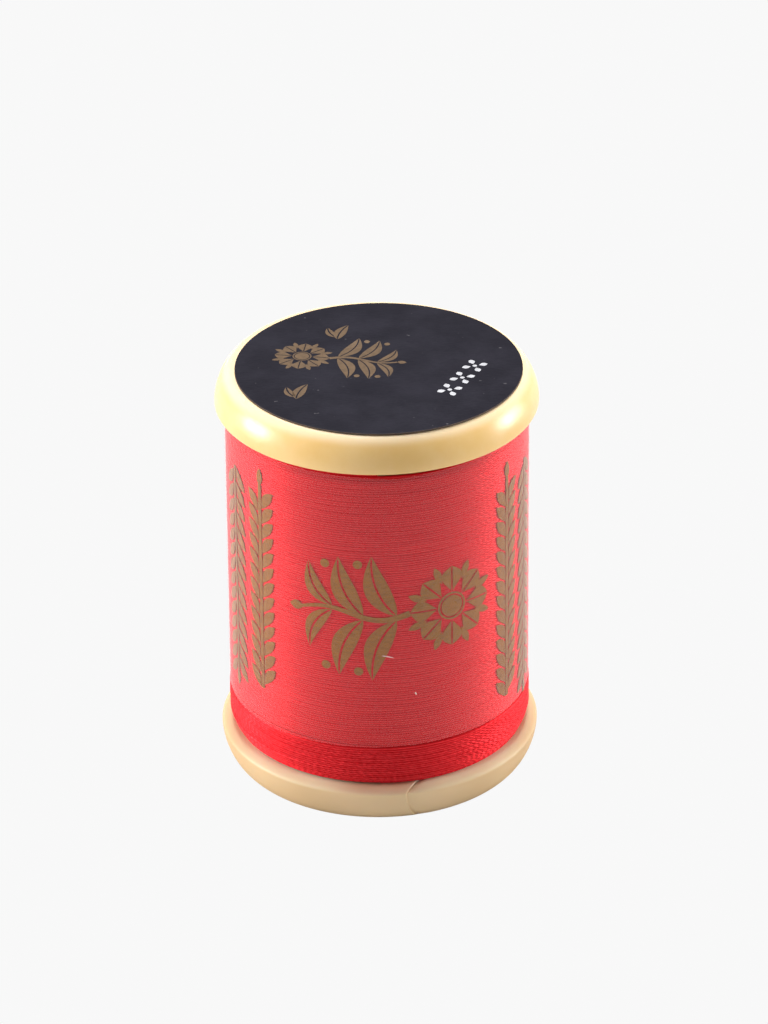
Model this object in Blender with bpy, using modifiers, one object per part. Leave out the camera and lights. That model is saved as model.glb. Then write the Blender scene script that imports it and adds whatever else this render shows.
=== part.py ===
"""Spool of machine-embroidery thread: a moulded cream spool, its wound thread, the clear printed
wrap around the thread and the round paper label on the top face.

Metres, +Z up. The origin is the centre of the face that the spool stands on.
"""

import math

import bmesh
import bpy
from mathutils import Matrix, Vector

MM = 0.001

# Driving dimensions
OVERALL_HEIGHT = 39.25 * MM  # standing face to the top of the label
FLANGE_RADIUS = 14.5 * MM
FACE_RADIUS = 12.95 * MM  # flat end face, inside the rounded rim
LOWER_RIM_ROUND = 3.08 * MM  # from the lower end face to the widest circle of the rim
UPPER_RIM_ROUND = 2.65 * MM
RIM_ROUND_POWER = 1.54  # 2 is an ellipse, 1 is a straight chamfer
RIM_LAND = 0.25 * MM  # straight band at the widest circle
INNER_ROUND = 0.42 * MM  # height of the round between the rim and the inner face
INNER_FACE_RADIUS = 13.2 * MM
INNER_FACE_RISE = 0.3 * MM  # the inner face is a shallow cone, thicker at the barrel
BARREL_RADIUS = 7.4 * MM
BORE_RADIUS = 4.9 * MM
BORE_CHAMFER = 0.4 * MM

CLEARANCE = 0.3 * MM  # between neighbouring pieces

LABEL_RADIUS = 12.83 * MM
LABEL_THICKNESS = 0.12 * MM
LABEL_SHIFT = (0.2 * MM, -0.3 * MM)  # the label is stuck on a little off centre

THREAD_RADIUS = 13.7 * MM
SHOULDER_DROP = 0.42 * MM  # how far the last turns fall in beside a flange
SHOULDER_HEIGHT = 2.2 * MM
LAY_HEIGHT = 0.62 * MM  # one lay of neighbouring turns in the bare band
LAY_RELIEF = 0.05 * MM

WRAP_RADIUS = 13.72 * MM
WRAP_THICKNESS = 0.14 * MM
WRAP_BOTTOM = 7.8 * MM
WRAP_TOP = 34.93 * MM

SLIT_WIDTH = 0.3 * MM
SLIT_LENGTH = 3.4 * MM
SLIT_MOUTH = (2.32 * MM, -14.26 * MM)  # where the slit opens through the rim
SLIT_ANGLE = math.radians(31.0)  # how far its inner end leans from +Y towards +X

TURN_STEPS = 96
ROUND_STEPS = 8
MERGE = 1e-6

CREAM = (0.86, 0.70, 0.42)
RED = (0.72, 0.03, 0.05)
CLEAR = (0.92, 0.62, 0.60)
NAVY = (0.022, 0.024, 0.040)

UPPER_FACE = OVERALL_HEIGHT - LABEL_THICKNESS - CLEARANCE
LOWER_FLANGE = LOWER_RIM_ROUND + RIM_LAND + INNER_ROUND
UPPER_FLANGE = UPPER_RIM_ROUND + RIM_LAND + INNER_ROUND


def clear_scene():
    for old in list(bpy.data.objects):
        bpy.data.objects.remove(old, do_unlink=True)


def new_collection(name, hidden=False):
    made = bpy.data.collections.new(name)
    bpy.context.scene.collection.children.link(made)
    made.hide_render = hidden
    return made


def finish_material(name, colour, roughness, metallic=0.0, alpha=1.0):
    made = bpy.data.materials.new(name)
    made.use_nodes = True
    shader = made.node_tree.nodes["Principled BSDF"]
    shader.inputs["Base Color"].default_value = (*colour, 1.0)
    shader.inputs["Roughness"].default_value = roughness
    shader.inputs["Metallic"].default_value = metallic
    shader.inputs["Alpha"].default_value = alpha
    made.diffuse_color = (*colour, alpha)
    return made


def turned(name, profile, material, collection):
    """A closed profile of (radius, height) points, turned about +Z. It runs down its outer side."""
    mesh = bpy.data.meshes.new(name)
    points = [(radius, 0.0, height) for radius, height in profile]
    edges = [(i, (i + 1) % len(points)) for i in range(len(points))]
    mesh.from_pydata(points, edges, [])
    mesh.materials.append(material)
    made = bpy.data.objects.new(name, mesh)
    collection.objects.link(made)
    screw = made.modifiers.new("Turn", "SCREW")
    screw.axis = "Z"
    screw.angle = math.tau
    screw.steps = TURN_STEPS
    screw.render_steps = TURN_STEPS
    screw.use_merge_vertices = True
    screw.merge_threshold = MERGE
    screw.use_smooth_shade = True
    return made


def rim_profile(round_height):
    """(radius, depth from the end face) from the flat face, round the rim, to the inner face."""
    points = []
    power = 2.0 / RIM_ROUND_POWER
    for i in range(ROUND_STEPS + 1):
        turn = math.radians(90.0) * i / ROUND_STEPS
        out = math.sin(turn) ** power
        down = 1.0 - max(math.cos(turn), 0.0) ** power
        radius = FACE_RADIUS + (FLANGE_RADIUS - FACE_RADIUS) * out
        points.append((radius, round_height * down))
    inner_steps = ROUND_STEPS // 2
    for i in range(inner_steps + 1):
        turn = math.radians(90.0) * i / inner_steps
        radius = INNER_FACE_RADIUS + (FLANGE_RADIUS - INNER_FACE_RADIUS) * math.cos(turn)
        points.append((radius, round_height + RIM_LAND + INNER_ROUND * math.sin(turn)))
    return points


def spool_profile():
    """The whole spool: upper flange, barrel and lower flange down the outside, then the bore."""
    upper = [(radius, UPPER_FACE - depth) for radius, depth in rim_profile(UPPER_RIM_ROUND)]
    lower = [(radius, depth) for radius, depth in reversed(rim_profile(LOWER_RIM_ROUND))]
    barrel = [
        (BARREL_RADIUS, UPPER_FACE - UPPER_FLANGE - INNER_FACE_RISE),
        (BARREL_RADIUS, LOWER_FLANGE + INNER_FACE_RISE),
    ]
    bore = [
        (BORE_RADIUS + BORE_CHAMFER, 0.0),
        (BORE_RADIUS, BORE_CHAMFER),
        (BORE_RADIUS, UPPER_FACE - BORE_CHAMFER),
        (BORE_RADIUS + BORE_CHAMFER, UPPER_FACE),
    ]
    return upper + barrel + lower + bore


def slit_cutter(collection):
    """A thin upright blade, set across the rim of the lower flange at a slant to its radius."""
    mesh = bpy.data.meshes.new("slit_cutter")
    block = bmesh.new()
    bmesh.ops.create_cube(block, size=1.0)
    height = 2.0 * (LOWER_FLANGE + INNER_FACE_RISE)
    bmesh.ops.scale(block, vec=(SLIT_WIDTH, SLIT_LENGTH, height), verts=block.verts)
    block.to_mesh(mesh)
    block.free()
    made = bpy.data.objects.new("slit_cutter", mesh)
    collection.objects.link(made)
    inward = Vector((math.sin(SLIT_ANGLE), math.cos(SLIT_ANGLE), 0.0))
    outside = 1.4 * MM
    centre = Vector((*SLIT_MOUTH, 0.0)) + inward * (SLIT_LENGTH / 2 - outside)
    made.matrix_world = Matrix.Translation(centre) @ Matrix.Rotation(-SLIT_ANGLE, 4, "Z")
    made.hide_render = True
    made.display_type = "WIRE"
    return made


def build_spool(material, collection, cutters):
    spool = turned("spool_body", spool_profile(), material, collection)
    slit = spool.modifiers.new("Thread slit", "BOOLEAN")
    slit.operation = "DIFFERENCE"
    slit.solver = "EXACT"
    slit.object = slit_cutter(cutters)
    return spool


def thread_profile():
    """The wound thread: a ring that fills the spool, with a shallow seat under the wrap, bare
    lays below it, and shoulders that fall in beside the flanges."""
    low = LOWER_FLANGE + CLEARANCE
    high = UPPER_FACE - UPPER_FLANGE - CLEARANCE
    inside = BARREL_RADIUS + CLEARANCE
    seat_radius = WRAP_RADIUS - WRAP_THICKNESS - CLEARANCE
    seat_low = WRAP_BOTTOM - CLEARANCE

    top = [
        (inside, high - INNER_FACE_RISE),
        (seat_radius - SHOULDER_DROP, high),
        (seat_radius, high - SHOULDER_DROP),
        (seat_radius, seat_low),
    ]
    bare = []
    lays = int((seat_low - low) / LAY_HEIGHT)
    for lay in range(lays):
        for share, relief in ((0.0, -LAY_RELIEF), (0.5, LAY_RELIEF)):
            height = seat_low - (lay + share) * LAY_HEIGHT
            sink = max(0.0, 1.0 - (height - low) / SHOULDER_HEIGHT)
            bare.append((THREAD_RADIUS + relief - SHOULDER_DROP * sink**2, height))
    bottom = [
        (THREAD_RADIUS - 1.5 * SHOULDER_DROP, low),
        (inside, low + INNER_FACE_RISE),
    ]
    return top + bare + bottom


def wrap_profile():
    inner = WRAP_RADIUS - WRAP_THICKNESS
    return [
        (inner, WRAP_TOP),
        (WRAP_RADIUS, WRAP_TOP),
        (WRAP_RADIUS, WRAP_BOTTOM),
        (inner, WRAP_BOTTOM),
    ]


def build_label(material, collection):
    """A thin disc that lies on the upper face and closes the bore there."""
    mesh = bpy.data.meshes.new("top_label")
    disc = bmesh.new()
    bmesh.ops.create_cone(
        disc,
        cap_ends=True,
        segments=TURN_STEPS,
        radius1=LABEL_RADIUS,
        radius2=LABEL_RADIUS,
        depth=LABEL_THICKNESS,
    )
    disc.to_mesh(mesh)
    disc.free()
    mesh.materials.append(material)
    made = bpy.data.objects.new("top_label", mesh)
    collection.objects.link(made)
    made.location = (*LABEL_SHIFT, OVERALL_HEIGHT - LABEL_THICKNESS / 2)
    return made


def main():
    clear_scene()
    parts = new_collection("thread_spool")
    cutters = new_collection("cutters", hidden=True)
    cream = finish_material("cream_plastic", CREAM, 0.32)
    red = finish_material("red_thread", RED, 0.75)
    clear = finish_material("clear_film", CLEAR, 0.12, alpha=0.35)
    navy = finish_material("label_paper", NAVY, 0.55)

    build_spool(cream, parts, cutters)
    turned("thread_winding", thread_profile(), red, parts)
    turned("clear_wrap", wrap_profile(), clear, parts)
    build_label(navy, parts)


main()
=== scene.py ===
"""Spool of sewing thread: a moulded cream spool, its wound red thread, the clear printed wrap and
the round paper label on top, on a pale table under soft lights.

Metres, +Z up. The front of the spool faces -Y.
"""

import math

import bmesh
import bpy
import numpy as np
from mathutils import Matrix, Vector


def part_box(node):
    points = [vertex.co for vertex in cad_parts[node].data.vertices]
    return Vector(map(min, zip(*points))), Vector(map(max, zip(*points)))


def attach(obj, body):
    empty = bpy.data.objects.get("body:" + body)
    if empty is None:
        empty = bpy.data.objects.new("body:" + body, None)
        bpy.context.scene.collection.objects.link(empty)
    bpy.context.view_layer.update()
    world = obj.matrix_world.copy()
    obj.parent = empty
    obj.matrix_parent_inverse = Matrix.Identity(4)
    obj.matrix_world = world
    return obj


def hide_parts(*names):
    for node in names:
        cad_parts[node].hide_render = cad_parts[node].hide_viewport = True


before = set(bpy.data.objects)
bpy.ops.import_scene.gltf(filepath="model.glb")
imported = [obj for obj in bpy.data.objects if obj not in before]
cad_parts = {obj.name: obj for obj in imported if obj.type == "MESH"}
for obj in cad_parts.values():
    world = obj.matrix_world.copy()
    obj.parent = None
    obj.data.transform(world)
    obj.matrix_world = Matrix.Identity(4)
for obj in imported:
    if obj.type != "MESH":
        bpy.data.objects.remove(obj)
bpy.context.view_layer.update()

bl_info = {
    "name": "Sewing Thread Spool",
    "version": (1, 0, 0),
    "blender": (4, 5, 0),
    "location": "3D View > Sidebar > Thread Spool",
    "description": "Builds a spool of sewing thread with its printed wrap and its paper label",
    "category": "Add Mesh",
}

MM = 0.001
BODY = "root"
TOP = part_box("top_label")[1].z
RIM_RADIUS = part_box("spool_body")[1].x
SLIT_MOUTH = (2.4 * MM, -14.26 * MM)
WRAP_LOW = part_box("clear_wrap")[0].z
WRAP_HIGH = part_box("clear_wrap")[1].z
WRAP_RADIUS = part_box("clear_wrap")[1].x

# The winding, whose two parts meet behind the wrap's lower edge
WINDING_LOW = 3.6 * MM
BARE_TOP = 7.9 * MM
COVERED_LOW = 7.4 * MM
WINDING_HIGH = 35.5 * MM
FOOT_DRAWN_IN = 0.66 * MM
HEAD_DRAWN_IN = 0.2 * MM
TWIST = 10.0  # radians for each millimetre of thread
RUN_RADIUS = 13.7  # millimetres of thread for each radian of a turn

# Thickness of the ink
WRAP_INK = 0.006 * MM
LABEL_INK = 0.01 * MM

# Painted shade and light on the lower flange: painted shade on its inner face in front, painted
# light on its inner face at its sides beside the thread, going to the next colour at the rim, and
# painted shade on the rim itself far out at its sides
SHELF_FRONT_SHADE = (0.66, 0.41, 0.26)
SHELF_NEAR_LIGHT = (0.98, 0.94, 0.66)
SHELF_RIM = (0.84, 0.68, 0.43)
RIM_SIDES_SHADE = (0.54, 0.33, 0.14)

# Painted shade: the thread goes a little towards this under the upper flange, and faintly from halfway
# up
THREAD_SHADE = (0.30, 0.004, 0.008)

# The camera's place in metres, and its turns in radians
CAMERA_PLACE = (0.0, -0.41219, 0.24931)
CAMERA_PAN = -0.0013625
CAMERA_TILT = math.pi / 2 - 0.499612
CAMERA_ROLL = -0.0087866
SENSOR_WIDTH = 36.0

# Each soft light: its turn from the front and its rise in degrees, its distance, width and height
# in metres, and the setting that holds its power
SOFT_LIGHTS = (
    ("soft_right", 104.0, 8.0, 0.6, 0.2, 0.19, "right_power"),
    ("soft_left", -92.0, 10.0, 0.6, 0.2, 0.19, "left_power"),
    ("soft_back", 180.0, 66.0, 0.8, 0.4, 0.4, "back_power"),
    ("soft_top", 0.0, 88.0, 0.8, 0.4, 0.4, "top_power"),
)


# Properties


def length(name, description, default, low=0.0, high=0.1):
    """A length in metres, shown in the scene's units."""
    return bpy.props.FloatProperty(
        name=name,
        description=description,
        default=default,
        min=low,
        max=high,
        precision=5,
        subtype="DISTANCE",
        unit="LENGTH",
    )


def share(name, description, default):
    return bpy.props.FloatProperty(
        name=name,
        description=description,
        default=default,
        min=0.0,
        max=1.0,
        subtype="FACTOR",
    )


def colour(name, description, default):
    return bpy.props.FloatVectorProperty(
        name=name,
        description=description,
        default=default,
        size=3,
        min=0.0,
        max=1.0,
        subtype="COLOR",
    )


def angle(name, description, degrees):
    return bpy.props.FloatProperty(
        name=name,
        description=description,
        default=math.radians(degrees),
        subtype="ANGLE",
        unit="ROTATION",
    )


def power(name, description, default):
    return bpy.props.FloatProperty(
        name=name,
        description=description,
        default=default,
        min=0.0,
        unit="POWER",
    )


class MouldedSpoolSettings(bpy.types.PropertyGroup):
    """Sizes and finish of the moulded spool."""

    face_drop: length("Face drop", "From the label's top to the upper end face", 0.2 * MM)
    upper_face: length("Upper face radius", "Radius of the flat upper face", 12.97 * MM)
    lower_face: length("Lower face radius", "Radius of the flat standing face", 12.9 * MM)
    upper_round: length("Upper rim round", "End face to the widest circle, upper flange", 2.88 * MM)
    lower_round: length("Lower rim round", "End face to the widest circle, lower flange", 3.08 * MM)
    rim_land: length("Rim land", "Straight band at the widest circle", 0.12 * MM)
    inner_round: length("Inner round", "Height of the round at the inner face", 0.48 * MM)
    inner_radius: length("Inner face radius", "Where the inner face begins", 13.2 * MM)
    inner_rise: length("Inner face rise", "Rise of the inner face to the barrel", 0.3 * MM)
    barrel_radius: length("Barrel radius", "Radius that the thread is wound on", 7.4 * MM)
    bore_radius: length("Bore radius", "Radius of the hole for the spool pin", 4.9 * MM)
    bore_chamfer: length("Bore chamfer", "Chamfer at both ends of the bore", 0.4 * MM)
    slit_width: length("Slit width", "Width of the thread slit", 0.06 * MM)
    slit_lip: length("Slit lip", "Round on the right lip of the slit", 1.1 * MM)
    slit_depth: length("Slit depth", "How far the slit runs in from its mouth", 1.95 * MM)
    slit_angle: angle("Slit angle", "Lean of the slit's inner end from straight in", 31.0)
    cream: colour("Plastic", "Colour of the cream plastic", (0.84, 0.57, 0.24))
    aged: colour("Aged plastic", "Colour of its yellower patches", (0.81, 0.52, 0.18))
    # Painted light: the rim beside the label is painted paler for the light on that band
    rim_light: colour("Rim light", "Colour of the rim beside the label", (0.92, 0.73, 0.49))
    foot: colour("Lower flange", "Colour of the paler lower flange", (0.97, 0.72, 0.42))
    # Painted shade: the lower flange is painted darker towards its sides
    side_shade: colour("Flange side shade", "Colour of the lower flange's sides", (0.70, 0.49, 0.26))
    roughness: share("Roughness", "Roughness of the plastic", 0.3)


class ThreadSettings(bpy.types.PropertyGroup):
    """Sizes and colours of the wound thread."""

    pitch: length("Pitch", "Height from one turn to the next", 0.22 * MM)
    thread_radius: length("Thread radius", "Radius of the thread itself", 0.125 * MM)
    low_radius: length("Lower radius", "Outer radius of the winding at the foot", 13.74 * MM)
    high_radius: length("Upper radius", "Outer radius of the winding at the top", 13.68 * MM)
    tuck: length("Tuck", "How far the wrap presses the thread in", 0.09 * MM)
    red: colour("Thread", "Colour of the thread", (0.88, 0.037, 0.043))
    # Painted sheen: the bare thread's red is painted a little whiter for the sheen on it
    bare_with_sheen: colour("Bare thread", "Colour of the thread below the wrap", (0.88, 0.050, 0.060))
    # Painted shade between the turns, and the dark end of the thread's uneven tone
    groove_shade_and_tone: colour("Deep thread", "Colour between the turns", (0.62, 0.013, 0.018))
    roughness: share("Roughness", "Roughness of the thread", 0.5)


class WrapSettings(bpy.types.PropertyGroup):
    """Sizes and colours of the clear wrap and its print."""

    film: length("Film thickness", "Thickness of the clear film", 0.025 * MM)
    slant: length("Edge slant", "Rise of the lower edge from left to right, halved", 0.17 * MM)
    taper: length("Taper", "How much narrower the wrap is at its upper edge", 0.05 * MM)
    rise: length("Rise", "How far the wrap's upper edge stands above its lowest level", 0.34 * MM)
    overlap: length("Overlap", "Length of the glued overlap at the back", 3.5 * MM)
    clear: colour("Film", "Tint of the film's haze", (1.0, 0.93, 0.93))
    gold: colour("Print", "Colour of the gold print", (0.33, 0.114, 0.006))
    roughness: share("Roughness", "Roughness of the film", 0.38)


class LabelSettings(bpy.types.PropertyGroup):
    """Sizes and colours of the paper label."""

    radius: length("Radius", "Radius of the label", 12.83 * MM)
    thickness: length("Thickness", "Thickness of the label", 0.15 * MM)
    off_right: length("Offset right", "How far off centre it is stuck, right", 0.2 * MM, -0.01)
    off_back: length("Offset back", "How far off centre it is stuck, back", -0.3 * MM, -0.01)
    dish: length("Dish", "How far the paper sinks over the bore", 0.05 * MM)
    navy: colour("Paper", "Colour of the coated paper", (0.0085, 0.0075, 0.0135))
    gold: colour("Gold ink", "Colour of the gold ink", (0.15, 0.09, 0.045))
    white: colour("White ink", "Colour of the white ink", (0.55, 0.55, 0.58))
    roughness: share("Roughness", "Roughness of the paper", 0.5)


class StageSettings(bpy.types.PropertyGroup):
    """Table, lights and camera."""

    table: colour("Table", "Tone of the table", (0.94, 0.94, 0.94))
    right_power: power("Right light", "Power of the soft light on the right", 2.75)
    left_power: power("Left light", "Power of the soft light on the left", 3.9)
    back_power: power("Back light", "Power of the soft light above and behind", 6.7)
    top_power: power("Top light", "Power of the soft light overhead", 2.2)
    sky: colour("Sky", "Tone of the light from all round", (0.28, 0.28, 0.28))
    lens: length("Lens", "Focal length of the camera", 182.67 * MM, high=1.0)


# Mesh helpers


def wrap_low(settings, turns):
    """Height of the wrap's lower edge, which runs up slightly to the right."""
    return WRAP_LOW + settings.slant * np.sin(turns)


def wrap_high(settings, turns):
    """Height of the wrap's upper edge, which leaves a narrow gap under the flange in front."""
    gap = np.exp(-(((turns - 0.09) / 0.22) ** 2))
    return WRAP_HIGH + settings.rise - 0.2 * MM * gap - 0.06 * MM * np.cos(turns * 3.0)


def smooth_step(value, low, high):
    share_of = np.clip((value - low) / (high - low), 0.0, 1.0)
    return share_of * share_of * (3.0 - 2.0 * share_of)


def new_object(name, mesh, material):
    mesh.materials.append(material)
    made = bpy.data.objects.new(name, mesh)
    bpy.context.scene.collection.objects.link(made)
    return made


def grid_faces(rows, columns, first=0):
    """Quads of a grid of rows by columns of points."""
    corner = first + np.arange(rows - 1)[:, None] * columns + np.arange(columns - 1)[None, :]
    corner = corner.reshape(-1)
    return np.stack([corner, corner + 1, corner + columns + 1, corner + columns], 1)


def mesh_from(name, points, faces, merge=0.0, sharp=None):
    """A smooth mesh of these points and quads. Points closer than merge become one."""
    mesh = bpy.data.meshes.new(name)
    mesh.from_pydata(points.reshape(-1, 3).tolist(), [], faces.tolist())
    if merge:
        work = bmesh.new()
        work.from_mesh(mesh)
        bmesh.ops.remove_doubles(work, verts=work.verts, dist=merge)
        bmesh.ops.dissolve_degenerate(work, edges=work.edges, dist=merge * 0.5)
        bmesh.ops.recalc_face_normals(work, faces=work.faces)
        work.to_mesh(mesh)
        work.free()
    mesh.polygons.foreach_set("use_smooth", np.ones(len(mesh.polygons), bool))
    if sharp is not None:
        mesh.set_sharp_from_angle(angle=math.radians(sharp))
    mesh.update()
    return mesh


# Node helpers


class NodeTree:
    """Adds nodes to one material, with inputs given by name as values or as other sockets."""

    def __init__(self, name):
        self.material = bpy.data.materials.new(name)
        self.material.use_nodes = True
        self.tree = self.material.node_tree
        self.shader = self.tree.nodes["Principled BSDF"]
        self.output = self.tree.nodes["Material Output"]

    def link(self, node, key, value):
        socket = node.inputs[key]
        if isinstance(value, bpy.types.NodeSocket):
            self.tree.links.new(value, socket)
        elif isinstance(value, (tuple, list)) and len(value) == 3 and socket.type == "RGBA":
            socket.default_value = (*value, 1.0)
        else:
            socket.default_value = value

    def add(self, kind, out=0, settings=None, **inputs):
        node = self.tree.nodes.new(kind)
        for key, value in (settings or {}).items():
            setattr(node, key, value)
        for key, value in inputs.items():
            index = int(key[1:]) if key[0] == "i" and key[1:].isdigit() else key.replace("_", " ")
            self.link(node, index, value)
        return node.outputs[out]

    def set(self, **inputs):
        for key, value in inputs.items():
            self.link(self.shader, key.replace("_", " "), value)

    def math(self, operation, a, b=0.0, c=0.0, clamp=False):
        settings = {"operation": operation, "use_clamp": clamp}
        return self.add("ShaderNodeMath", settings=settings, i0=a, i1=b, i2=c)

    def mix(self, factor, a, b):
        """Colour a where factor is 0 and colour b where it is 1."""
        node = self.tree.nodes.new("ShaderNodeMix")
        node.data_type = "RGBA"
        self.link(node, 0, factor)
        self.link(node, 6, a)
        self.link(node, 7, b)
        return node.outputs[2]

    def split(self, vector):
        """The three parts of a vector."""
        node = self.tree.nodes.new("ShaderNodeSeparateXYZ")
        self.link(node, 0, vector)
        return tuple(node.outputs)

    def object_point(self, scale=(1.0, 1.0, 1.0)):
        place = self.add("ShaderNodeTexCoord", out="Object")
        return self.add("ShaderNodeMapping", Vector=place, Scale=scale)

    def noise(self, vector, scale, detail=3.0, roughness=0.5):
        return self.add(
            "ShaderNodeTexNoise",
            Vector=vector,
            Scale=scale,
            Detail=detail,
            Roughness=roughness,
        )

    def ramp(self, value, low, high, out_low=0.0, out_high=1.0):
        node = self.tree.nodes.new("ShaderNodeMapRange")
        node.interpolation_type = "SMOOTHSTEP"
        self.link(node, "Value", value)
        self.link(node, "From Min", low)
        self.link(node, "From Max", high)
        self.link(node, "To Min", out_low)
        self.link(node, "To Max", out_high)
        return node.outputs[0]

    def bump(self, height, strength, distance, normal=None):
        node = self.tree.nodes.new("ShaderNodeBump")
        self.link(node, "Height", height)
        self.link(node, "Strength", strength)
        self.link(node, "Distance", distance)
        if normal is not None:
            self.link(node, "Normal", normal)
        return node.outputs[0]


# Materials


def cream_plastic(settings):
    """Glossy moulded plastic, a little uneven in colour and a little translucent. Painted light makes
    the rim beside the label paler. The lower flange is paler, with painted shade at its sides, on its
    inner face in front and far out on its rim, and painted light on its inner face beside the thread."""
    nodes = NodeTree("cream_plastic")
    point = nodes.object_point()
    x, y, z = nodes.split(point)
    across = nodes.math("ABSOLUTE", x)
    flat = nodes.add("ShaderNodeCombineXYZ", X=x, Y=y)
    radius = nodes.add("ShaderNodeVectorMath", out=1, settings={"operation": "LENGTH"}, i0=flat)

    patches = nodes.ramp(nodes.noise(point, 340.0, 4.0, 0.55), 0.25, 0.8)
    base = nodes.mix(patches, tuple(settings.cream), tuple(settings.aged))
    lower = nodes.ramp(z, 12.0 * MM, 6.0 * MM)
    # Painted shade: the lower flange goes towards this colour at its sides
    sides = nodes.math("ABSOLUTE", nodes.math("SUBTRACT", x, 1.5 * MM))
    sides = nodes.ramp(sides, 2.0 * MM, 8.5 * MM)
    flange = nodes.mix(sides, tuple(settings.foot), tuple(settings.side_shade))
    base = nodes.mix(lower, base, flange)
    # Painted light: the up-facing rim beside the label is paler
    rim_light = nodes.ramp(radius, 13.95 * MM, 13.4 * MM, 0.0, 0.75)
    rim_light = nodes.math("MULTIPLY", rim_light, nodes.ramp(z, 37.5 * MM, 38.2 * MM))
    base = nodes.mix(rim_light, base, tuple(settings.rim_light))
    # Painted shade on the lower flange's inner face in front, and painted light on it beside the
    # thread at the sides
    shelf = nodes.math("MULTIPLY", nodes.ramp(z, 3.1 * MM, 3.5 * MM), lower)
    shelf_shade_and_light = nodes.mix(nodes.ramp(radius, 13.2 * MM, 14.3 * MM), SHELF_NEAR_LIGHT, SHELF_RIM)
    shelf_shade_and_light = nodes.mix(nodes.ramp(across, 1.2 * MM, 6.2 * MM), SHELF_FRONT_SHADE, shelf_shade_and_light)
    base = nodes.mix(shelf, base, shelf_shade_and_light)
    # Painted shade far out at the sides of the lower rim
    far = nodes.math("MULTIPLY", nodes.ramp(across, 10.5 * MM, 13.7 * MM, 0.0, 0.56), lower)
    base = nodes.mix(far, base, RIM_SIDES_SHADE)

    grain = nodes.noise(point, 2600.0, 3.0)
    scuffs = nodes.noise(point, 500.0, 2.0)
    rough = settings.roughness
    roughness = nodes.ramp(scuffs, 0.2, 0.9, rough - 0.02, rough + 0.06)
    roughness = nodes.math("MULTIPLY_ADD", lower, 0.22, roughness)
    swell = nodes.noise(point, 420.0, 2.0)
    normal = nodes.bump(swell, 0.35, 0.04 * MM)
    normal = nodes.bump(grain, 0.12, 0.01 * MM, normal)
    nodes.set(Base_Color=base, Roughness=roughness, Normal=normal, Subsurface_Weight=0.12)
    nodes.set(Subsurface_Radius=(1.0, 0.6, 0.25), Subsurface_Scale=0.8 * MM)
    return nodes.material


def red_thread(settings, name, red, grain):
    """Twisted filament thread. The run of the thread is in the mesh's own coordinates."""
    nodes = NodeTree(name)
    run = nodes.add("ShaderNodeUVMap", settings={"uv_map": "thread_run"})
    along, across, _ = nodes.split(run)
    slow = nodes.noise(nodes.object_point((1.0, 1.0, 30.0)), 90.0, 3.0)
    lean = nodes.math("MULTIPLY_ADD", across, 0.9, nodes.math("MULTIPLY", slow, 2.2))
    lean = nodes.math("MULTIPLY", lean, math.tau)
    ply = nodes.math("SINE", nodes.math("MULTIPLY_ADD", along, TWIST, lean))
    # Painted shade in the grooves between the turns
    valley = nodes.math("ABSOLUTE", nodes.math("SINE", nodes.math("MULTIPLY", across, math.pi)))
    depth = nodes.math("MULTIPLY", nodes.ramp(valley, 0.0, 1.0), 0.75)

    streaks = nodes.noise(nodes.object_point((1.0, 1.0, 60.0)), 160.0, 4.0, 0.65)
    streaks = nodes.ramp(streaks, 0.3, 0.7, -0.1, 0.35)
    fibre = nodes.noise(nodes.object_point((1.0, 1.0, 1.6)), 2600.0, 2.0, 0.6)
    # Painted glints: the fibres and the twist speckle the tone by the grain amount; the streaks are
    # the thread's own uneven tone
    uneven = nodes.math("ADD", streaks, nodes.ramp(fibre, 0.3, 0.7, -grain, grain))
    uneven = nodes.math("MULTIPLY_ADD", ply, 0.4 * grain, uneven)
    tone = nodes.math("ADD", depth, uneven, clamp=True)
    base = nodes.mix(tone, tuple(red), tuple(settings.groove_shade_and_tone))
    height = nodes.split(nodes.object_point())[2]
    shade = nodes.ramp(height, 34.2 * MM, 34.9 * MM, 0.0, 0.3)
    shade = nodes.math("ADD", shade, nodes.ramp(height, 20.0 * MM, 34.5 * MM, 0.0, 0.12))
    base = nodes.mix(shade, base, THREAD_SHADE)
    normal = nodes.bump(ply, 0.3 + 1.2 * grain, (0.02 + 0.05 * grain) * MM)
    normal = nodes.bump(fibre, 0.2 + grain, 0.03 * MM, normal)
    nodes.set(Base_Color=base, Roughness=settings.roughness, Normal=normal)
    nodes.set(Metallic=0.66, Specular_IOR_Level=0.0)
    return nodes.material


def clear_film(settings):
    """Thin clear film: seen through in front, glossy and hazy where it turns away."""
    nodes = NodeTree("clear_film")
    facing = nodes.add("ShaderNodeLayerWeight", out="Facing", Blend=0.5)
    alpha = nodes.math("MULTIPLY_ADD", nodes.math("POWER", facing, 1.6), 0.08, 0.015)
    alpha = nodes.math("MULTIPLY_ADD", nodes.math("POWER", facing, 8.0), 0.15, alpha)
    ripple = nodes.noise(nodes.object_point((1.0, 1.0, 20.0)), 120.0, 2.0)
    normal = nodes.bump(ripple, 0.25, 0.03 * MM)
    nodes.set(Base_Color=tuple(settings.clear), Roughness=settings.roughness, Normal=normal)
    nodes.set(Metallic=0.85, Alpha=alpha, Anisotropic=0.8, Tangent=nodes.add("ShaderNodeTangent"))
    return nodes.material


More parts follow.
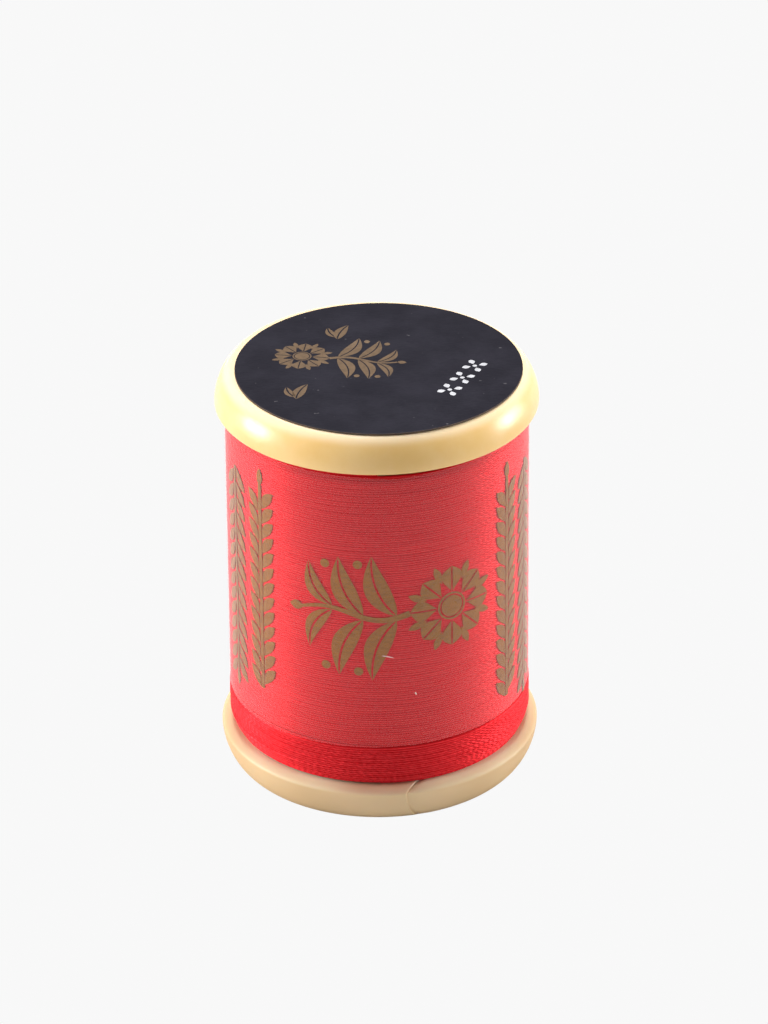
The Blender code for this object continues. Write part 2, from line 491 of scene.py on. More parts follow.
def ink(name, tint, roughness, metallic, wear_scale, wear):
    """Printed ink with fine gaps where it hasn't taken."""
    nodes = NodeTree(name)
    point = nodes.object_point((1.0, 1.0, 3.0))
    mottle = nodes.noise(point, wear_scale, 4.0, 0.65)
    dark = tuple(0.72 * value for value in tint)
    base = nodes.mix(nodes.ramp(mottle, 0.35, 0.7), tuple(tint), dark)
    holes = nodes.noise(nodes.object_point((1.0, 1.0, 9.0)), wear_scale * 0.8, 3.0)
    alpha = nodes.math("MULTIPLY_ADD", nodes.ramp(holes, 0.55, 0.8), -wear, 1.0)
    nodes.set(Base_Color=base, Roughness=roughness, Metallic=metallic, Alpha=alpha)
    nodes.set(Normal=nodes.bump(mottle, 0.2, 0.01 * MM))
    return nodes.material


def label_paper(settings):
    """Dark coated paper with faint fibres, rub marks and a few pale specks."""
    nodes = NodeTree("label_paper")
    point = nodes.object_point()
    cloud = nodes.noise(point, 300.0, 4.0, 0.6)
    fibre = nodes.noise(nodes.object_point((1.0, 3.0, 1.0)), 1500.0, 4.0, 0.7)
    speck = nodes.ramp(nodes.noise(point, 1800.0, 2.0), 0.74, 0.78)
    paler = tuple(value * 1.35 + 0.004 for value in settings.navy)
    base = nodes.mix(nodes.ramp(cloud, 0.3, 0.75), tuple(settings.navy), paler)
    base = nodes.mix(nodes.math("MULTIPLY", speck, 0.35), base, (0.20, 0.19, 0.20))
    roughness = nodes.ramp(fibre, 0.3, 0.75, settings.roughness, settings.roughness + 0.15)
    nodes.set(Base_Color=base, Roughness=roughness, Normal=nodes.bump(fibre, 0.15, 0.01 * MM))
    nodes.set(Specular_IOR_Level=0.08)
    return nodes.material


def paper_edge():
    """The cut edge of the paper, brown and fibrous."""
    nodes = NodeTree("paper_edge")
    grain = nodes.noise(nodes.object_point((1.0, 1.0, 6.0)), 1200.0, 3.0)
    base = nodes.mix(nodes.ramp(grain, 0.3, 0.7), (0.10, 0.060, 0.035), (0.045, 0.030, 0.022))
    nodes.set(Base_Color=base, Roughness=0.8, Normal=nodes.bump(grain, 0.3, 0.01 * MM))
    return nodes.material


# Moulded spool


def rim_points(settings, face, round_height, steps=24):
    """(radius, depth from the end face) round the rim, from the flat face to the inner face."""
    points = []
    for i in range(steps + 1):
        turn = math.pi / 2 * i / steps
        out = math.sin(turn) ** 1.25
        down = 1.0 - max(math.cos(turn), 0.0) ** 1.2
        points.append((face + (RIM_RADIUS - face) * out, round_height * down))
    for i in range(steps // 2 + 1):
        turn = math.pi / 2 * i / (steps // 2)
        radius = settings.inner_radius + (RIM_RADIUS - settings.inner_radius) * math.cos(turn)
        depth = round_height + settings.rim_land + settings.inner_round * math.sin(turn)
        points.append((radius, depth))
    return points


def spool_outline(settings, slit_radius):
    """The closed section of the spool as (radius, height), down its outside and up the bore."""
    high = TOP - settings.face_drop
    upper_rim = rim_points(settings, settings.upper_face, settings.upper_round)
    lower_rim = rim_points(settings, settings.lower_face, settings.lower_round)
    upper = [(r, high - d) for r, d in upper_rim]
    lower = [(r, d) for r, d in reversed(lower_rim)]
    past = next(i for i, (r, _) in enumerate(lower) if r < slit_radius)
    (wide, rise), (narrow, drop) = lower[past - 1 : past + 1]
    part = (wide - slit_radius) / (wide - narrow)
    lower.insert(past, (slit_radius, rise + (drop - rise) * part))
    barrel = settings.barrel_radius
    barrel_top = (barrel, upper[-1][1] - settings.inner_rise)
    barrel_foot = (barrel, lower[0][1] + settings.inner_rise)
    share_of = (slit_radius - barrel) / (lower[0][0] - barrel)
    at_slit = (slit_radius, barrel_foot[1] + (lower[0][1] - barrel_foot[1]) * share_of)
    bore = settings.bore_radius
    chamfer = settings.bore_chamfer
    foot = [(r, 0.0) for r in np.linspace(settings.lower_face, bore + chamfer, 5)[1:]]
    hole = [(bore, chamfer), (bore, high - chamfer), (bore + chamfer, high)]
    return np.array(upper + [barrel_top, barrel_foot, at_slit] + lower + foot + hole)


def slit_angles(settings, radii, side):
    """The angle from the front at which one wall of the slit crosses each radius."""
    inward = np.array([math.sin(settings.slit_angle), math.cos(settings.slit_angle)])
    across = np.array([inward[1], -inward[0]])
    mouth = np.array(SLIT_MOUTH) + across * side * settings.slit_width / 2
    along = mouth @ inward
    reach = -along - np.sqrt(np.maximum(along**2 - mouth @ mouth + radii**2, 0.0))
    points = mouth + inward * reach[:, None]
    return np.arctan2(points[:, 0], -points[:, 1])


def column_shares(count):
    """Shares of a full turn from the right wall of the slit, closer together at both walls."""
    circumference = math.tau * RIM_RADIUS
    right = [0.0, 0.02, 0.05, 0.1, 0.16, 0.23, 0.31, 0.4, 0.5, 0.65, 0.8, 0.95, 1.1]
    right = np.array(right) * MM / circumference
    left = np.array([0.0, 0.02, 0.05, 0.09, 0.15, 0.3]) * MM / circumference
    middle = np.linspace(0.0, 1.0, count + 1)[1:-1]
    middle = middle[(middle > right[-1] * 1.3) & (middle < 1.0 - left[-1] * 1.5)]
    return np.concatenate([right, middle, 1.0 - left[::-1]])


def lip_bend(settings, shares):
    """How far each column bends in from the outline, which rounds the two lips of the slit."""
    bend = np.zeros_like(shares)
    for lip, steepness, gap in (
        (settings.slit_lip, 0.15, shares * math.tau * RIM_RADIUS),
        (0.08 * MM, 0.5, (1.0 - shares) * math.tau * RIM_RADIUS),
    ):
        inside = np.clip(lip - gap, 0.0, lip)
        bend += steepness * inside**2 / lip
    return bend


def slit_wall(settings, slit_radius, open_points):
    """Four columns along the open rows of the spool: the right lip, both inner corners of the
    slit and the left lip."""
    corners = []
    for side in (1.0, -1.0):
        turn = slit_angles(settings, np.full(1, slit_radius), side)[0]
        corner = np.empty((len(open_points), 3))
        corner[:, 0] = slit_radius * math.sin(turn)
        corner[:, 1] = -slit_radius * math.cos(turn)
        corner[:, 2] = open_points[:, 0, 2]
        corners.append(corner)
    return np.stack([open_points[:, 0], *corners, open_points[:, -1]], 1)


def spool_mesh(settings):
    """The spool turned from its section, parted at the slit through the lower rim."""
    inward = Vector((math.sin(settings.slit_angle), math.cos(settings.slit_angle)))
    slit_radius = (Vector(SLIT_MOUTH) + inward * settings.slit_depth).length
    outline = spool_outline(settings, slit_radius)
    radii, heights = outline.T
    is_open = (heights < 6.0 * MM) & (radii > slit_radius - 1e-9)
    reached = np.maximum(radii, slit_radius)
    left = slit_angles(settings, reached, -1.0)
    right = slit_angles(settings, reached, 1.0)
    middle = (left + right) / 2
    left = np.where(is_open, left, middle)
    right = np.where(is_open, right, middle)
    shares = column_shares(264)
    turns = right[:, None] + shares[None, :] * (math.tau + left - right)[:, None]

    ahead = np.roll(outline, -1, axis=0) - np.roll(outline, 1, axis=0)
    normals = np.stack([-ahead[:, 1], ahead[:, 0]], 1)
    normals /= np.maximum(np.linalg.norm(normals, axis=1), 1e-12)[:, None]
    depth = is_open[:, None] * lip_bend(settings, shares)[None, :]
    radius = radii[:, None] - depth * normals[:, 0, None]
    height = np.maximum(heights[:, None] - depth * normals[:, 1, None], 0.0)
    points = np.stack([radius * np.sin(turns), -radius * np.cos(turns), height], -1)

    rows, columns = turns.shape
    closed = np.concatenate([points, points[:1]])
    open_rows = np.flatnonzero(is_open)
    open_rows = np.arange(open_rows[0], open_rows[-1] + 1)
    wall = slit_wall(settings, slit_radius, points[open_rows])
    faces = [grid_faces(rows + 1, columns), grid_faces(len(open_rows), 4, (rows + 1) * columns)]
    everything = np.concatenate([closed.reshape(-1, 3), wall.reshape(-1, 3)])
    return mesh_from("spool_moulding", everything, np.concatenate(faces), 2e-7, 40.0)


class THREADSPOOL_OT_moulded_spool(bpy.types.Operator):
    """Turn the moulded cream spool with its thread slit"""

    bl_idname = "thread_spool.moulded_spool"
    bl_label = "Moulded Spool"

    def execute(self, context):
        settings = context.scene.moulded_spool
        spool = new_object("spool_moulding", spool_mesh(settings), cream_plastic(settings))
        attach(spool, BODY)
        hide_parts("spool_body")
        return {"FINISHED"}


# Thread


def wander(run, step, seed):
    """A smooth random value, from about -1 to 1, along the run of the thread."""
    knots = int(run.max() / step) + 4
    values = np.random.default_rng(seed).uniform(-1.0, 1.0, knots)
    place = np.maximum(run, 0.0) / step
    whole = place.astype(int)
    part = place - whole
    part = part * part * (3.0 - 2.0 * part)
    return values[whole] * (1.0 - part) + values[whole + 1] * part


def winding_radius(settings, heights, edge):
    """Outer radius of the winding at each height, pressed in above the wrap's lower edge and
    drawn in beside the flanges."""
    share_of = (heights - 4.0 * MM) / (31.0 * MM)
    radius = settings.low_radius + (settings.high_radius - settings.low_radius) * share_of
    radius = radius - settings.tuck * smooth_step(heights, edge - 0.3 * MM, edge - 0.02 * MM)
    foot = np.clip((5.1 * MM - heights) / (1.5 * MM), 0.0, 1.1)
    head = np.clip((heights - 34.7 * MM) / (0.9 * MM), 0.0, 1.0)
    return radius - FOOT_DRAWN_IN * foot**1.5 - HEAD_DRAWN_IN * head**2


def turn_rows(settings, crest_height, crest_radius, turns):
    """(heights, radii) of four rows for each turn: its crest, a flank, the groove above it and
    the next flank."""
    thick = settings.thread_radius
    heights = []
    radii = []
    for k in range(turns):
        here, above = crest_height[k], crest_height[k + 1]
        here_radius, above_radius = crest_radius[k], crest_radius[k + 1]
        spread = np.maximum(above - here, 0.3 * settings.pitch)
        half = np.minimum(spread / 2, 0.96 * thick)
        flank = half * 0.55
        groove_sunk = thick - np.sqrt(thick**2 - half**2)
        flank_sunk = thick - np.sqrt(thick**2 - flank**2)
        groove = np.minimum(here_radius, above_radius) - groove_sunk
        heights += [here, here + flank, here + spread / 2, above - flank]
        radii += [here_radius, here_radius - flank_sunk, groove, above_radius - flank_sunk]
    return np.array(heights), np.array(radii)


def helix_faces(rows, columns):
    """Quads of a helix with four rows for each turn. The last column is the start of the next
    turn, and four further points close the last turn."""
    index = np.arange(rows)[:, None] * columns + np.arange(columns)[None, :]
    following = np.minimum(np.arange(rows) + 4, rows - 1)
    index = np.concatenate([index, index[following, :1]], 1)
    index[rows - 4 :, -1] = rows * columns + np.arange(4)
    corners = [index[:-1, :-1], index[:-1, 1:], index[1:, 1:], index[1:, :-1]]
    return np.stack(corners, -1).reshape(-1, 4)


def winding_mesh(settings, name, low, high, columns, seed, looseness):
    """Thread laid turn on turn from low to high: one long helix with its turns pressed together."""
    turns = int((high - low) / settings.pitch)
    steps = np.linspace(0.0, math.tau, columns + 1)
    run = math.tau * np.arange(turns + 2)[:, None] + steps[None, :]
    crest_height = low + settings.pitch * run / math.tau
    untidy = 0.25 + 0.9 * looseness(crest_height)
    sideways = wander(run, 1.7, seed) * 0.7 + wander(run, 0.6, seed + 1) * 0.3
    lifted = wander(run, 1.1, seed + 2) * 0.7 + wander(run, 0.35, seed + 3) * 0.3
    crest_height = crest_height + sideways * 0.42 * settings.pitch * untidy
    edge = wrap_low(bpy.context.scene.clear_wrap, steps)
    crest_radius = winding_radius(settings, crest_height, edge) + lifted * 0.04 * MM * untidy

    height, radius = turn_rows(settings, crest_height, crest_radius, turns)
    points = np.stack([radius * np.sin(steps), -radius * np.cos(steps), height], -1)
    rows = 4 * turns
    all_points = np.concatenate([points[:, :-1].reshape(-1, 3), points[rows - 4 :, -1]])
    mesh = mesh_from(name, all_points, helix_faces(rows, columns))
    along = run[np.repeat(np.arange(turns), 4)] * RUN_RADIUS
    across = np.repeat(np.arange(rows)[:, None] / 4.0, columns + 1, 1)
    place = np.stack([along, across], -1)
    loops = np.stack([place[:-1, :-1], place[:-1, 1:], place[1:, 1:], place[1:, :-1]], 2)
    layer = mesh.uv_layers.new(name="thread_run")
    layer.uv.foreach_set("vector", loops.reshape(-1).astype(np.float32))
    return mesh


class THREADSPOOL_OT_wound_thread(bpy.types.Operator):
    """Wind the thread: the even turns under the wrap and the looser turns below it"""

    bl_idname = "thread_spool.wound_thread"
    bl_label = "Wound Thread"

    def execute(self, context):
        settings = context.scene.wound_thread

        def even(heights):
            return np.full_like(heights, 0.35)

        def looser_at_foot(heights):
            return 0.35 + 0.65 * smooth_step(heights, 6.4 * MM, 4.8 * MM)

        red = red_thread(settings, "red_thread", settings.red, 0.05)
        # The bare thread gets the red with painted sheen and stronger painted glints
        bare_red = red_thread(settings, "red_thread_bare", settings.bare_with_sheen, 0.2)
        for name, material, low, high, columns, seed, looseness in (
            ("winding_under_wrap", red, COVERED_LOW, WINDING_HIGH, 168, 11, even),
            ("winding_bare_band", bare_red, WINDING_LOW, BARE_TOP, 320, 23, looser_at_foot),
        ):
            mesh = winding_mesh(settings, name, low, high, columns, seed, looseness)
            piece = new_object(name, mesh, material)
            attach(piece, BODY)
            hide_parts("thread_winding")
        return {"FINISHED"}


# Clear wrap


def wrap_mesh(settings):
    """One turn of film with a glued overlap at the back, as a thin closed sheet."""
    lap = settings.overlap / WRAP_RADIUS
    turns = np.linspace(-math.pi - lap / 2, math.pi + lap / 2, 260)
    lifted = smooth_step(turns, math.pi - lap / 2 - 0.12, math.pi - lap / 2)
    outer = WRAP_RADIUS + settings.film * 1.6 * lifted
    share_of = np.linspace(0.0, 1.0, 25)
    low = wrap_low(settings, turns)
    high = wrap_high(settings, turns)
    height = low[None, :] + (high - low)[None, :] * share_of[:, None]
    narrower = settings.taper * share_of[:, None]
    outside = outer[None, :] - narrower
    inside = outside - settings.film
    skins = []
    for radius in (outside, inside):
        skins.append(np.stack([radius * np.sin(turns), -radius * np.cos(turns), height], -1))
    section = np.concatenate([skins[0], skins[1][::-1], skins[0][:1]])
    faces = [grid_faces(*section.shape[:2])]
    first = section.shape[0] * section.shape[1]
    ends = []
    for column in (0, -1):
        strip = np.stack([skins[0][:, column], skins[1][:, column]], 1)
        faces.append(grid_faces(strip.shape[0], 2, first))
        first += strip.shape[0] * 2
        ends.append(strip.reshape(-1, 3))
    points = np.concatenate([section.reshape(-1, 3), *ends])
    return mesh_from("wrap_film", points, np.concatenate(faces), 1e-7, 40.0)


class THREADSPOOL_OT_clear_wrap(bpy.types.Operator):
    """Wrap the clear film round the thread"""

    bl_idname = "thread_spool.clear_wrap"
    bl_label = "Clear Wrap"

    def execute(self, context):
        settings = context.scene.clear_wrap
        film = new_object("wrap_film", wrap_mesh(settings), clear_film(settings))
        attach(film, BODY)
        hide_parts("clear_wrap")
        return {"FINISHED"}


# Printed ornament, drawn in millimetres as (right, up)


class Ornament:
    """Small printed shapes, each a fine grid, gathered for one mesh."""

    def __init__(self):
        self.patches = []

    def patch(self, points):
        self.patches.append(np.array(points, float))

    def leaf(self, base, tip, width, bend=0.0, full=0.85, rib=0.0, steps=14):
        """A leaf from base to tip, parted along its rib where rib is its width."""
        base, tip = np.array(base, float), np.array(tip, float)
        reach = tip - base
        side = np.array([-reach[1], reach[0]]) / np.hypot(*reach)
        t = np.linspace(0.0, 1.0, steps)[:, None]
        axis = base + reach * t + side * bend * 4.0 * t * (1.0 - t)
        half = width / 2 * np.sin(math.pi * t**full) ** 0.9
        inner = np.minimum(rib / 2, half)
        parts = [(-1.0, 1.0)] if not rib else [(-1.0, 0.0), (0.0, 1.0)]
        for low, high in parts:
            a = low * half if low else inner
            b = high * half if high else -inner
            rows = [axis + side * (a + (b - a) * s) for s in (0.0, 0.5, 1.0)]
            self.patch(np.stack(rows, 1))

    def stem(self, points, width, end_width=None):
        """A line of even or tapering width through the points."""
        points = np.array(points, float)
        ahead = np.gradient(points, axis=0)
        ahead /= np.linalg.norm(ahead, axis=1)[:, None]
        side = np.stack([-ahead[:, 1], ahead[:, 0]], 1)
        end = width if end_width is None else end_width
        half = np.linspace(width, end, len(points))[:, None] / 2
        self.patch(np.stack([points - side * half, points, points + side * half], 1))

    def disc(self, centre, outer, steps=9):
        """A filled circle: a square grid drawn out to a round one."""
        across, up = np.meshgrid(*[np.linspace(-1.0, 1.0, steps)] * 2, indexing="ij")
        round_place = [across * np.sqrt(1 - up**2 / 2), up * np.sqrt(1 - across**2 / 2)]
        self.patch(np.array(centre) + outer * np.stack(round_place, -1))

    def ring(self, centre, outer, inner, steps=24):
        turn = np.linspace(0.0, math.tau - 0.004, steps + 1)
        circle = np.stack([np.cos(turn), np.sin(turn)], 1)
        radii = np.linspace(inner, outer, 3)
        self.patch(np.stack([np.array(centre) + circle * r for r in radii], 1))

    def placed(self, centre, turn=0.0, scale=1.0):
        """A copy, scaled, turned and moved."""
        made = Ornament()
        cosine, sine = math.cos(turn), math.sin(turn)
        matrix = np.array([[cosine, -sine], [sine, cosine]]) * scale
        made.patches = [p @ matrix.T + np.array(centre, float) for p in self.patches]
        return made

    def add(self, other):
        self.patches += other.patches

    def object(self, name, material, lay, thickness):
        """One mesh of all patches. lay turns (right, up) in millimetres into places and outsides."""
        points = []
        faces = []
        first = 0
        for patch in self.patches:
            rows, columns = patch.shape[:2]
            top, out = lay(patch.reshape(-1, 2))
            under = top - out * thickness
            count = rows * columns
            grid = grid_faces(rows, columns, first)
            edge = np.arange(count).reshape(rows, columns)
            border = np.concatenate([edge[0, :-1], edge[:-1, -1], edge[-1, :0:-1], edge[:0:-1, 0]])
            after = np.roll(border, -1)
            sides = np.stack([border, border + count, after + count, after], 1) + first
            faces += [grid, grid[:, ::-1] + count, sides]
            points += [top, under]
            first += 2 * count
        mesh = mesh_from(name, np.concatenate(points), np.concatenate(faces), 1e-7, 30.0)
        return new_object(name, mesh, material)


def flower_sprig():
    """A round flower on a waved stem with paired leaves, about 19 mm long and 13 mm tall."""
    made = Ornament()
    bloom = np.array([5.6, 0.0])
    for i in range(8):
        turn = math.tau * i / 8
        out = np.array([math.cos(turn), math.sin(turn)])
        made.leaf(bloom + out * 1.35, bloom + out * 4.0, 2.1, full=1.45, rib=0.16)
        turn += math.tau / 16
        out = np.array([math.cos(turn), math.sin(turn)])
        made.leaf(bloom + out * 2.6, bloom + out * 4.5, 0.7, full=1.2)
    made.disc(bloom, 1.05)
    made.ring(bloom, 1.38, 1.2)
    x = np.linspace(1.6, -8.4, 40)
    wave = 0.55 * np.sin((x - 1.6) * 0.62)
    made.stem(np.stack([x, wave], 1), 0.62, 0.3)
    for root, reach in ((0.4, 6.3), (-2.6, 6.0), (-5.4, 4.4)):
        lift = 0.55 * math.sin((root - 1.6) * 0.62)
        for side in (-1.0, 1.0):
            base = (root, lift + 0.2 * side)
            tip = (root - 2.2, lift + side * reach)
            made.leaf(base, tip, 0.36 * reach, bend=0.75 * side, rib=0.2)
            if root > -5.0:
                made.disc((root - 3.45, lift + side * reach * 0.86), 0.42)
    made.leaf((-8.2, 0.0), (-9.6, 0.05), 0.9, full=1.0)
    return made


def garland(length_mm, width, pitch, downward):
    """A straight stem with bold slanted leaves in pairs, for a printed border."""
    made = Ornament()
    y = np.linspace(-length_mm / 2, length_mm / 2, int(length_mm * 4))
    made.stem(np.stack([np.zeros_like(y), y], 1), 0.42)
    for k in range(int(length_mm / pitch)):
        for side in (-1.0, 1.0):
            root = -length_mm / 2 + (k + 0.3 * (side > 0)) * pitch
            base = (0.28 * side, root)
            tip = (side * width / 2, root + 1.3 * pitch)
            made.leaf(base, tip, 0.66 * pitch, 0.1 * side * pitch, full=1.15)
    made.leaf((0.0, length_mm / 2 - 0.1), (0.0, length_mm / 2 + 1.1 * pitch), 0.5 * pitch)
    return made.placed((0.0, 0.0), math.pi if downward else 0.0)


class THREADSPOOL_OT_wrap_print(bpy.types.Operator):
    """Print the gold ornament on the inside of the wrap"""

    bl_idname = "thread_spool.wrap_print"
    bl_label = "Wrap Print"

    def execute(self, context):
        settings = context.scene.clear_wrap
        gold = ink("wrap_gold", settings.gold, 0.48, 0.35, 1400.0, 0.15)

        inside = WRAP_RADIUS - settings.film - 0.004 * MM

        def lay(place, radius=inside):
            drop = settings.taper * (place[:, 1] * MM - WRAP_LOW) / (WRAP_HIGH - WRAP_LOW)
            turn = place[:, 0] * MM / WRAP_RADIUS
            out = np.stack([np.sin(turn), -np.cos(turn), np.zeros(len(turn))], 1)
            points = out * (radius - drop)[:, None]
            points[:, 2] = place[:, 1] * MM
            return points, out

        def lay_outside(place):
            return lay(place, WRAP_RADIUS + 0.01 * MM)

        arc = WRAP_RADIUS / MM
        front = flower_sprig().placed((1.2, 21.4))
        side_columns = Ornament()
        for low, high, bottom, top, downward in (
            (-77.0, -60.0, 11.0, 32.0, True),
            (-57.0, -43.0, 11.2, 32.0, False),
            (50.5, 64.0, 9.4, 31.8, False),
            (66.5, 81.0, 9.0, 31.8, True),
        ):
            width = math.radians(high - low) * arc
            middle = math.radians(high + low) / 2 * arc
            made = garland(top - bottom, width, 1.5, downward)
            side_columns.add(made.placed((middle, (bottom + top) / 2)))
        scratches = Ornament()
        scratches.leaf((0.25, 17.28), (1.35, 17.0), 0.1, 0.03)
        scratches.leaf((3.2, 13.3), (3.35, 13.0), 0.14)
        pale = ink("wrap_scratch", (0.95, 0.62, 0.58), 0.5, 0.0, 3000.0, 0.5)
        for name, drawn, paint, place in (
            ("wrap_print_front", front, gold, lay),
            ("wrap_print_sides", side_columns, gold, lay),
            ("wrap_scratches", scratches, pale, lay_outside),
        ):
            piece = drawn.object(name, paint, place, WRAP_INK)
            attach(piece, BODY)
        return {"FINISHED"}


# Label


def label_height(settings, radius):
    """How far the paper's top lies under its highest level at each radius."""
    ridge_height = 0.012 * MM
    ridge = ridge_height * np.exp(-(((radius - 7.6 * MM) / (0.7 * MM)) ** 2))
    sunk = settings.dish * smooth_step(radius, 5.6 * MM, 4.6 * MM)
    edge = 0.03 * MM * smooth_step(radius, settings.radius - 0.22 * MM, settings.radius)
    return ridge_height + sunk - ridge + edge


def label_mesh(settings):
    """A thin round sheet, sunk a little over the bore, with a rounded cut edge."""
    full = settings.radius
    inner = [0.0, 1.5, 3.0, 4.0, 4.4, 4.7, 5.0, 5.3, 5.6, 6.0, 6.6, 7.0, 7.3, 7.6, 7.9, 8.2, 8.8]
    radii = np.array([*(r * MM for r in inner), *np.linspace(9.6 * MM, full - 0.3 * MM, 5)])
    radii = np.concatenate([radii, full - np.array([0.2, 0.13, 0.07, 0.03, 0.0]) * MM])
    down = label_height(settings, radii)
    sheet = np.stack([radii, TOP - down], 1)
    under = np.stack([radii[::-1], TOP - settings.thickness - 0.6 * down[::-1]], 1)
    outline = np.concatenate([sheet, under])
    turns = np.linspace(0.0, math.tau, 241)
    right = outline[:, 0, None] * np.sin(turns) + settings.off_right
    back = -outline[:, 0, None] * np.cos(turns) + settings.off_back
    up = np.repeat(outline[:, 1, None], len(turns), 1)
    points = np.stack([right, back, up], -1)
    faces = grid_faces(*points.shape[:2])
    return mesh_from("paper_label", points, faces, 2e-7, 40.0)


class THREADSPOOL_OT_paper_label(bpy.types.Operator):
    """Stick the dark paper label and its printed marks on the upper face"""

    bl_idname = "thread_spool.paper_label"
    bl_label = "Paper Label"

    def execute(self, context):
        settings = context.scene.paper_label
        label = new_object("paper_label", label_mesh(settings), label_paper(settings))
        label.data.materials.append(paper_edge())
        for face in label.data.polygons:
            out = math.hypot(face.center.x - settings.off_right, face.center.y - settings.off_back)
            if out > settings.radius - 0.02 * MM:
                face.material_index = 1
        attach(label, BODY)
        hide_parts("top_label")

        def lay(place):
            points = np.zeros((len(place), 3))
            points[:, :2] = place * MM
            middle = np.array([settings.off_right, settings.off_back])
            out = np.hypot(*(points[:, :2] - middle).T)
            points[:, 2] = TOP - label_height(settings, out) + 0.004 * MM
            return points, np.tile([0.0, 0.0, 1.0], (len(place), 1))

        gold = ink("label_gold", settings.gold, 0.42, 0.4, 1800.0, 0.1)
        white = ink("label_white", settings.white, 0.5, 0.0, 1800.0, 0.1)
        gold_marks = flower_sprig().placed((-3.2, 1.4), math.radians(172.0), 0.62)
        leaves = Ornament()
        leaves.leaf((-1.5, 0.0), (1.5, 0.0), 1.1, 0.2, rib=0.14)
        leaves.leaf((-1.2, 0.2), (0.4, 1.6), 0.8, 0.2, rib=0.14)
        gold_marks.add(leaves.placed((-6.6, -5.0), math.radians(70.0)))
        gold_marks.add(leaves.placed((-3.0, 6.6), math.radians(70.0)))
        blossom = Ornament()
        for k in range(4):
            out = np.array([math.cos(math.pi / 2 * k), math.sin(math.pi / 2 * k)])
            blossom.leaf(out * 0.42, out * 1.3, 0.62, full=1.2)
        blossom.disc((0.0, 0.0), 0.22, 5)
        white_marks = Ornament()
        for k in (-1, 0, 1):
            white_marks.add(blossom.placed((7.6 + 1.15 * k, -2.6 + 2.3 * k), math.radians(18.0), 0.92))
        for name, drawn, paint in (
            ("label_print_gold", gold_marks, gold),
            ("label_print_white", white_marks, white),
        ):
            piece = drawn.object(name, paint, lay, LABEL_INK)
            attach(piece, BODY)
        return {"FINISHED"}


# Stage


def soft_light(name, place, target, width, height, watts):
    """A rectangular soft light at place that faces target."""
    light = bpy.data.lights.new(name, "AREA")
    light.shape = "RECTANGLE"
    light.size = width
    light.size_y = height
    light.energy = watts
    made = bpy.data.objects.new(name, light)
    bpy.context.scene.collection.objects.link(made)
    made.location = place
    made.rotation_euler = (target - place).to_track_quat("-Z", "Y").to_euler()


def round_place(turn_degrees, rise_degrees, distance, centre):
    """The place at that turn from the front, that rise and that distance from centre."""
    turn, rise = math.radians(turn_degrees), math.radians(rise_degrees)
    flat = distance * math.cos(rise)
    return centre + Vector((flat * math.sin(turn), -flat * math.cos(turn), distance * math.sin(rise)))


def table_material(tone):
    """Pale table that shows evenly bright, and is a matt grey that takes shadows in the light it
    passes on.
    """
    nodes = NodeTree("pale_table")
    nodes.tree.nodes.remove(nodes.shader)
    path = nodes.tree.nodes.new("ShaderNodeLightPath")
    matt = nodes.tree.nodes.new("ShaderNodeBsdfDiffuse")
    matt.inputs["Color"].default_value = (0.66, 0.66, 0.66, 1.0)
    glow = nodes.tree.nodes.new("ShaderNodeEmission")
    glow.inputs["Color"].default_value = (*tone, 1.0)
    join = nodes.tree.nodes.new("ShaderNodeMixShader")
    nodes.tree.links.new(path.outputs["Is Camera Ray"], join.inputs[0])
    nodes.tree.links.new(matt.outputs[0], join.inputs[1])
    nodes.tree.links.new(glow.outputs[0], join.inputs[2])
    nodes.tree.links.new(join.outputs[0], nodes.output.inputs["Surface"])
    return nodes.material


def set_world(tone, sky):
    """The same pale tone behind the table, and a dimmer light from all round."""
    world = bpy.data.worlds.new("pale_room")
    bpy.context.scene.world = world
    world.use_nodes = True
    tree = world.node_tree
    back = tree.nodes["Background"]
    back.inputs["Color"].default_value = (*tone, 1.0)
    dim = tree.nodes.new("ShaderNodeBackground")
    dim.inputs["Color"].default_value = (*sky, 1.0)
    path = tree.nodes.new("ShaderNodeLightPath")
    join = tree.nodes.new("ShaderNodeMixShader")
    tree.links.new(path.outputs["Is Camera Ray"], join.inputs[0])
    tree.links.new(dim.outputs[0], join.inputs[1])
    tree.links.new(back.outputs[0], join.inputs[2])
    tree.links.new(join.outputs[0], tree.nodes["World Output"].inputs["Surface"])


def table_mesh():
    """A flat round table top, wide enough to fill the view."""
    turns = np.linspace(0.0, math.tau, 97)
    radii = np.array([0.0, 0.05, 0.3, 1.0, 3.0])
    flat = radii[:, None] * np.stack([np.cos(turns), np.sin(turns)])[:, None, :]
    points = np.stack([flat[0], flat[1], np.zeros_like(flat[0])], -1)
    return mesh_from("table_top", points, grid_faces(*points.shape[:2]), 1e-7)


def front_camera(settings):
    """The camera above the front of the spool."""
    data = bpy.data.cameras.new("camera")
    data.lens = settings.lens / MM
    data.sensor_width = SENSOR_WIDTH
    data.sensor_fit = "AUTO"
    data.clip_start = 0.01
    camera = bpy.data.objects.new("camera", data)
    bpy.context.scene.collection.objects.link(camera)
    pan = Matrix.Rotation(CAMERA_PAN, 4, "Z")
    tilt = Matrix.Rotation(CAMERA_TILT, 4, "X")
    roll = Matrix.Rotation(CAMERA_ROLL, 4, "Z")
    camera.matrix_world = Matrix.Translation(CAMERA_PLACE) @ pan @ tilt @ roll
    bpy.context.scene.camera = camera


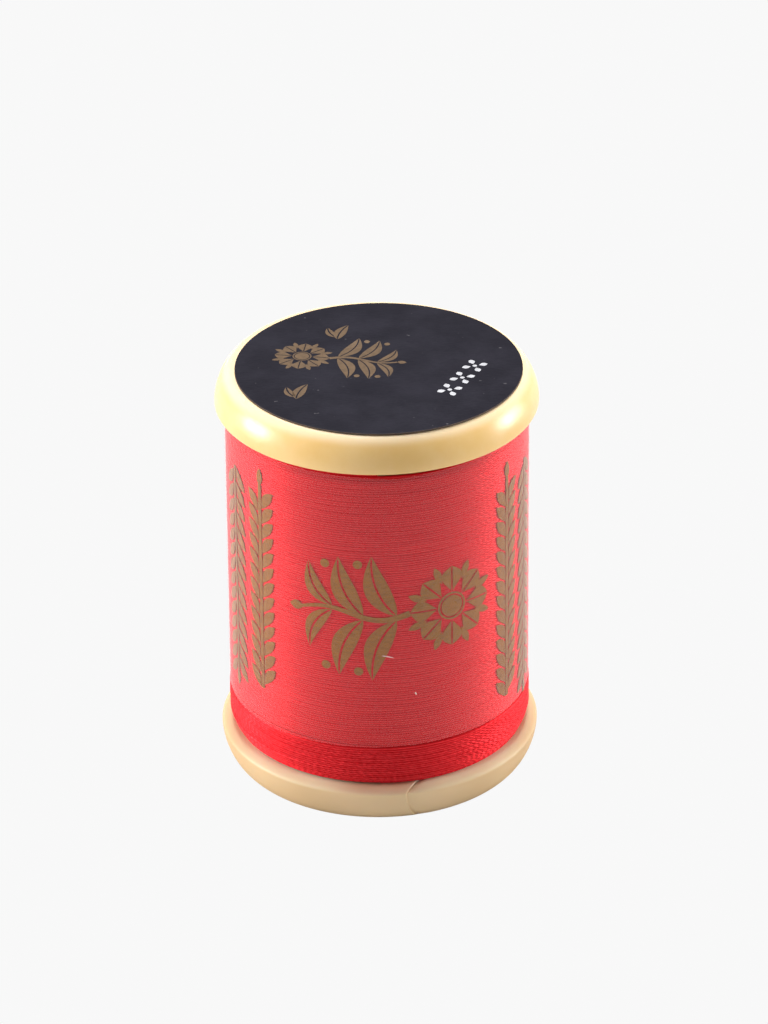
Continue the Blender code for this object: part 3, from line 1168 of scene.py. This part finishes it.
class THREADSPOOL_OT_studio_stage(bpy.types.Operator):
    """Set out the table, the soft lights and the camera"""

    bl_idname = "thread_spool.studio_stage"
    bl_label = "Studio Stage"

    def execute(self, context):
        settings = context.scene.studio_stage
        tone = tuple(settings.table)
        table = new_object("table_top", table_mesh(), table_material(tone))

        middle = Vector((0.0, 0.0, 0.02))
        for name, turn, rise, distance, width, height, watts in SOFT_LIGHTS:
            place = round_place(turn, rise, distance, middle)
            soft_light(name, place, middle, width, height, getattr(settings, watts))
        set_world(tone, tuple(settings.sky))
        front_camera(settings)
        context.scene.view_settings.view_transform = "Standard"
        return {"FINISHED"}


class THREADSPOOL_PT_pieces(bpy.types.Panel):
    """The pieces of the thread spool, in the order in which they are made"""

    bl_label = "Thread Spool"
    bl_idname = "THREADSPOOL_PT_pieces"
    bl_space_type = "VIEW_3D"
    bl_region_type = "UI"
    bl_category = "Thread Spool"

    def draw(self, context):
        for operator, group in STEPS:
            box = self.layout.box()
            box.operator(operator)
            settings = getattr(context.scene, group)
            for name in settings.__annotations__:
                box.prop(settings, name)


STEPS = (
    ("thread_spool.studio_stage", "studio_stage"),
    ("thread_spool.moulded_spool", "moulded_spool"),
    ("thread_spool.wound_thread", "wound_thread"),
    ("thread_spool.clear_wrap", "clear_wrap"),
    ("thread_spool.wrap_print", "clear_wrap"),
    ("thread_spool.paper_label", "paper_label"),
)

GROUPS = {
    "moulded_spool": MouldedSpoolSettings,
    "wound_thread": ThreadSettings,
    "clear_wrap": WrapSettings,
    "paper_label": LabelSettings,
    "studio_stage": StageSettings,
}

CLASSES = (
    *GROUPS.values(),
    THREADSPOOL_OT_moulded_spool,
    THREADSPOOL_OT_wound_thread,
    THREADSPOOL_OT_clear_wrap,
    THREADSPOOL_OT_wrap_print,
    THREADSPOOL_OT_paper_label,
    THREADSPOOL_OT_studio_stage,
    THREADSPOOL_PT_pieces,
)


def register():
    for made in CLASSES:
        bpy.utils.register_class(made)
    for name, group in GROUPS.items():
        setattr(bpy.types.Scene, name, bpy.props.PointerProperty(type=group))


def unregister():
    for name in GROUPS:
        delattr(bpy.types.Scene, name)
    for made in reversed(CLASSES):
        bpy.utils.unregister_class(made)


def main():
    register()
    for operator, _ in STEPS:
        group, name = operator.split(".")
        getattr(getattr(bpy.ops, group), name)()


if __name__ == "__main__":
    main()
